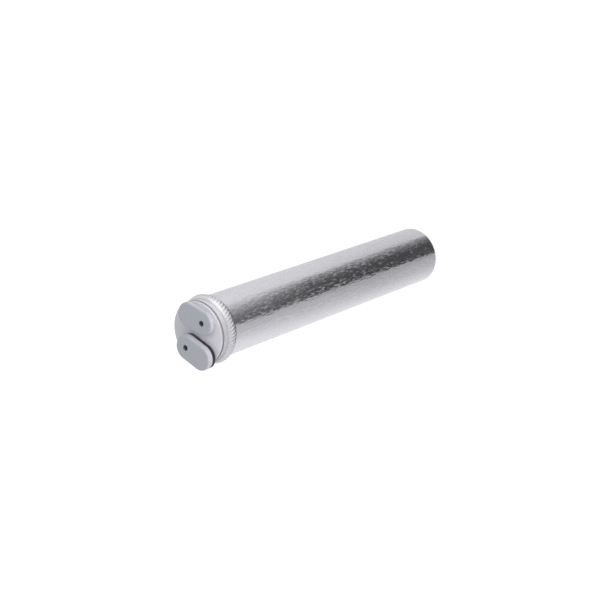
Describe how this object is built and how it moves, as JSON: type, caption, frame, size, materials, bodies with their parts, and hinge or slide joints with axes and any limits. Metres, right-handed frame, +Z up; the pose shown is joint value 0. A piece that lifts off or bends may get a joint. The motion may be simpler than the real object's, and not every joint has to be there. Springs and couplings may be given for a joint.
{
  "type": "filter drier",
  "caption": "Welded aluminium canister that dries and filters refrigerant, with two capped ports side by side in its flat header.",
  "frame": {"origin": "centre of the flat closed end, on the surface the drier stands on", "axes": "+Z up the can's axis to the header with the ports; the caps' long sides lie roughly along X, the inlet on the +Y side and the outlet on the -Y side"},
  "size_m": [0.0664, 0.0664, 0.3594],
  "materials": {
    "can_aluminium": "drawn, fine orange peel, satin",
    "header_aluminium": "turned, satin",
    "weld_aluminium": "as welded, bright ripples",
    "cap_plastic": "moulded grey polyethylene",
    "black_rubber": "moulded",
    "tube_aluminium": "drawn",
    "white_plastic": "moulded",
    "plate_steel": "stamped",
    "screen_steel": "woven",
    "filter_felt": "needled fibre",
    "desiccant": "packed molecular sieve",
    "spring_steel": "tempered strip"
  },
  "bodies": {
    "drier": {"can": "can_aluminium", "header": "header_aluminium", "weld_bead": "weld_aluminium", "pickup_tube": "tube_aluminium", "tube_foot": "white_plastic", "plate_stand": "plate_steel", "lower_plate": "plate_steel", "lower_grommet": "black_rubber", "lower_screen": "screen_steel", "lower_pad": "filter_felt", "desiccant_bed": "desiccant", "upper_pad": "filter_felt", "upper_screen": "screen_steel", "upper_plate": "plate_steel", "upper_grommet": "black_rubber", "spring": "spring_steel"},
    "inlet_cap": {"inlet_cap": "cap_plastic", "inlet_cap_ring": "black_rubber"},
    "outlet_cap": {"outlet_cap": "cap_plastic", "outlet_cap_ring": "black_rubber", "outlet_seal": "black_rubber"}
  },
  "joints": [
    {"name": "inlet_cap_slide", "type": "slide", "parent": "drier", "child": "inlet_cap", "axis": [0, 0, 1], "range_m": [0, 0.04]},
    {"name": "outlet_cap_slide", "type": "slide", "parent": "drier", "child": "outlet_cap", "axis": [0, 0, 1], "range_m": [0, 0.04]}
  ]
}
